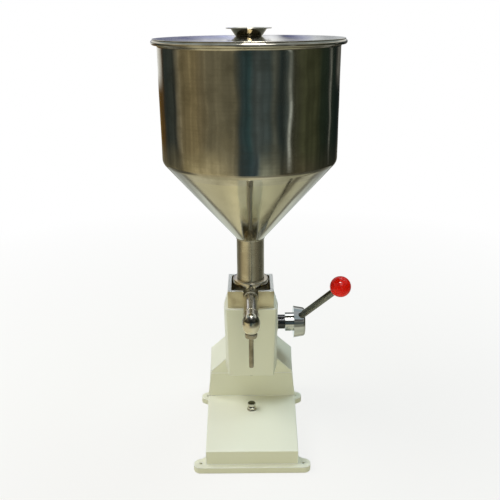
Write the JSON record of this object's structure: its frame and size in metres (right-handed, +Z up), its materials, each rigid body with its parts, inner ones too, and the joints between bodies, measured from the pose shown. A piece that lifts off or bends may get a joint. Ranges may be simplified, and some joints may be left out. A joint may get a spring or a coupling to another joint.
{
  "type": "piston dispenser",
  "caption": "Bench piston dispenser: round steel hopper on a hand-lever pump in a cast base, with a thin downward nozzle over a low deck.",
  "frame": {"origin": "centre of the four base bolt holes, on the surface the base stands on", "axes": "+Z up, -Y towards the nozzle and the user, +X towards the lever"},
  "size_m": [0.3272, 0.3435, 0.7006],
  "materials": {
    "cream_paint": "smooth gloss enamel on cast iron",
    "polished_stainless": "mirror-polished stainless sheet",
    "satin_stainless": "polished stainless with fine marks",
    "brushed_frame": "machined and brushed",
    "machined_steel": "machined",
    "bright_fastener": "bright stainless fastener",
    "chrome_plate": "bright chrome",
    "red_ball": "glossy phenolic ball",
    "black_bush": "black machined plastic",
    "ring_plastic": "white low-friction plastic",
    "seal_rubber": "pale food-grade rubber"
  },
  "bodies": {
    "stand": {"base_casting": "cream_paint", "head_casting": "cream_paint", "block_frame": "brushed_frame", "hopper_barrel": "polished_stainless", "hopper_knuckle": "polished_stainless", "hopper_cone": "polished_stainless", "hopper_neck": "satin_stainless", "hopper_collar": "satin_stainless", "outlet_pipe": "satin_stainless", "outlet_elbow": "satin_stainless", "nozzle_nut": "satin_stainless", "nozzle_tube": "satin_stainless", "deck_bolt": "bright_fastener", "deck_nut": "bright_fastener", "casting_screws": "bright_fastener", "frame_screws": "bright_fastener", "guide_screws": "bright_fastener", "stop_screw": "bright_fastener", "stop_nut": "bright_fastener", "pump_cylinder": "machined_steel", "valve_body": "machined_steel", "inlet_guide": "machined_steel", "inlet_spring": "machined_steel", "outlet_spring": "machined_steel", "rack_guide": "machined_steel", "right_bush": "black_bush", "left_bush": "black_bush", "cylinder_gasket": "seal_rubber", "hopper_gasket": "seal_rubber"},
    "inlet_valve": {"inlet_poppet": "machined_steel", "poppet_nut": "bright_fastener"},
    "outlet_valve": {"outlet_ball": "machined_steel"},
    "piston_group": {"piston": "machined_steel", "piston_rings": "ring_plastic", "piston_rod": "machined_steel", "piston_nut": "bright_fastener", "crosshead": "machined_steel", "rack": "machined_steel", "rack_screws": "bright_fastener"},
    "lever_group": {"lever_shaft": "machined_steel", "pinion": "machined_steel", "pinion_key": "machined_steel", "pinion_circlips": "bright_fastener", "lever_hub": "chrome_plate", "hub_screw": "bright_fastener", "lever_stem": "chrome_plate", "lever_knob": "red_ball"},
    "lid_group": {"lid": "polished_stainless", "lid_knob": "polished_stainless", "lid_screw": "bright_fastener", "lid_nut": "bright_fastener"}
  },
  "joints": [
    {"name": "lever_turn", "type": "hinge", "parent": "stand", "child": "lever_group", "pos_m": [0, 0.104, 0.172], "axis": [1, 0, 0], "range_deg": [0, 89.1]},
    {"name": "piston_slide", "type": "slide", "parent": "stand", "child": "piston_group", "axis": [0, 0, 1], "range_m": [0, 0.028]},
    {"name": "inlet_valve_slide", "type": "slide", "parent": "stand", "child": "inlet_valve", "axis": [0, 0, -1], "range_m": [0, 0.004], "stiffness_N_per_m": 200, "springref_m": -0.006, "deforming": ["inlet_spring"]},
    {"name": "outlet_valve_slide", "type": "slide", "parent": "stand", "child": "outlet_valve", "axis": [0, 0, -1], "range_m": [0, 0.003], "stiffness_N_per_m": 100, "springref_m": -0.003, "deforming": ["outlet_spring"]},
    {"name": "lid_lift", "type": "slide", "parent": "stand", "child": "lid_group", "axis": [0, 0, 1], "range_m": [0, 0.12]}
  ],
  "couplings": [
    {"joint": "piston_slide", "follows": "lever_turn", "m_per_rad": 0.018}
  ]
}
